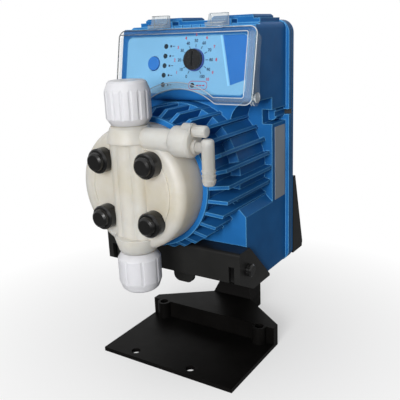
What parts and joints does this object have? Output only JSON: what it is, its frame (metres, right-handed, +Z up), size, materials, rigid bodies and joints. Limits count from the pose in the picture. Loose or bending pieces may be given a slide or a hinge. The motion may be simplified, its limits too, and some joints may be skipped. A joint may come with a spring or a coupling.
{
  "type": "diaphragm metering pump",
  "caption": "Solenoid diaphragm metering pump with finned housing, plastic liquid end, control face under a clear hood, and a foot bracket.",
  "frame": {"origin": "on the foot's underside, in the middle plane, 45 mm behind the foot's front edge", "axes": "+X to the right of someone facing the liquid end, +Y from the liquid end to the back, +Z up"},
  "size_m": [0.1146, 0.1519, 0.2335],
  "materials": {
    "foot_black": "satin",
    "trim_black": "gloss",
    "housing_blue": "satin",
    "label_blue": "satin",
    "button_blue": "gloss",
    "lamp_dark": "gloss",
    "clear_plastic": "gloss",
    "cream_plastic": "satin",
    "white_plastic": "satin",
    "steel": "brushed",
    "painted_steel": "satin",
    "seal_rubber": "matte",
    "fluoropolymer": "satin",
    "ceramic": "gloss",
    "grey_plastic": "satin",
    "board_green": "satin",
    "bronze": "machined",
    "copper": "enamelled"
  },
  "bodies": {
    "pump": {"base_foot": "foot_black", "cradle": "foot_black", "wall_bracket": "foot_black", "bolt_caps": "trim_black", "front_housing": "housing_blue", "rear_cover": "housing_blue", "control_panel": "label_blue", "indicator_lamps": "lamp_dark", "pump_head": "cream_plastic", "vent_body": "cream_plastic", "vent_tail": "cream_plastic", "suction_cage": "cream_plastic", "discharge_cage": "cream_plastic", "suction_nipple": "white_plastic", "discharge_nipple": "white_plastic", "suction_clamp_ring": "white_plastic", "discharge_clamp_ring": "white_plastic", "cradle_screws": "steel", "rear_cover_screws": "steel", "cover_pins": "steel", "head_bolts": "steel", "pole_piece": "steel", "solenoid_yoke": "painted_steel", "yoke_end_plate": "painted_steel", "cover_gasket": "seal_rubber", "diaphragm_seat": "fluoropolymer", "suction_seat": "fluoropolymer", "discharge_seat": "fluoropolymer", "cable_gland": "grey_plastic", "signal_socket": "grey_plastic", "bobbin": "grey_plastic", "potentiometer": "grey_plastic", "control_board": "board_green", "rod_bush": "bronze", "solenoid_coil": "copper"},
    "cover": {"clear_cover": "clear_plastic"},
    "knob": {"adjustment_knob": "trim_black"},
    "button": {"start_button": "button_blue"},
    "drive": {"plunger": "steel", "diaphragm": "fluoropolymer", "return_spring": "steel"},
    "suction_valve_ball": {"suction_ball": "ceramic"},
    "discharge_valve_ball": {"discharge_ball": "ceramic"},
    "suction_union": {"suction_nut": "white_plastic"},
    "discharge_union": {"discharge_nut": "white_plastic"},
    "vent_spindle": {"vent_screw": "cream_plastic"},
    "right_clamp": {"clamp_screw_right": "trim_black"},
    "left_clamp": {"clamp_screw_left": "trim_black"}
  },
  "joints": [
    {"name": "cover_hinge", "type": "hinge", "parent": "pump", "child": "cover", "pos_m": [0, -0.00511, 0.18284], "axis": [1, 0, 0], "range_deg": [0, 60]},
    {"name": "stroke_rate_knob", "type": "hinge", "parent": "pump", "child": "knob", "pos_m": [0.009, -0.00364, 0.20529], "axis": [0, -0.9803, 0.1977], "range_deg": [-150, 150]},
    {"name": "start_button_press", "type": "slide", "parent": "pump", "child": "button", "axis": [0, 0.9803, -0.1977], "range_m": [0, 0.0008], "stiffness_N_per_m": 800, "springref_m": -0.0005},
    {"name": "diaphragm_stroke", "type": "slide", "parent": "pump", "child": "drive", "axis": [0, -1, 0], "range_m": [0, 0.00125], "stiffness_N_per_m": 4000, "springref_m": -0.001},
    {"name": "suction_ball_lift", "type": "slide", "parent": "pump", "child": "suction_valve_ball", "axis": [0, 0, 1], "range_m": [0, 0.002]},
    {"name": "discharge_ball_lift", "type": "slide", "parent": "pump", "child": "discharge_valve_ball", "axis": [0, 0, 1], "range_m": [0, 0.002]},
    {"name": "suction_union_turn", "type": "hinge", "parent": "pump", "child": "suction_union", "pos_m": [0, -0.062, 0.08], "axis": [0, 0, -1], "range_deg": [0, 720]},
    {"name": "discharge_union_turn", "type": "hinge", "parent": "pump", "child": "discharge_union", "pos_m": [0, -0.062, 0.185], "axis": [0, 0, 1], "range_deg": [0, 720]},
    {"name": "vent_screw_turn", "type": "hinge", "parent": "pump", "child": "vent_spindle", "pos_m": [0.05, -0.062, 0.1713], "axis": [1, 0, 0], "range_deg": [0, 360]},
    {"name": "right_clamp_turn", "type": "hinge", "parent": "pump", "child": "right_clamp", "pos_m": [0.055, -0.02, 0.076], "axis": [1, 0, 0], "range_deg": [0, 720]},
    {"name": "left_clamp_turn", "type": "hinge", "parent": "pump", "child": "left_clamp", "pos_m": [-0.055, -0.02, 0.076], "axis": [-1, 0, 0], "range_deg": [0, 720]}
  ]
}
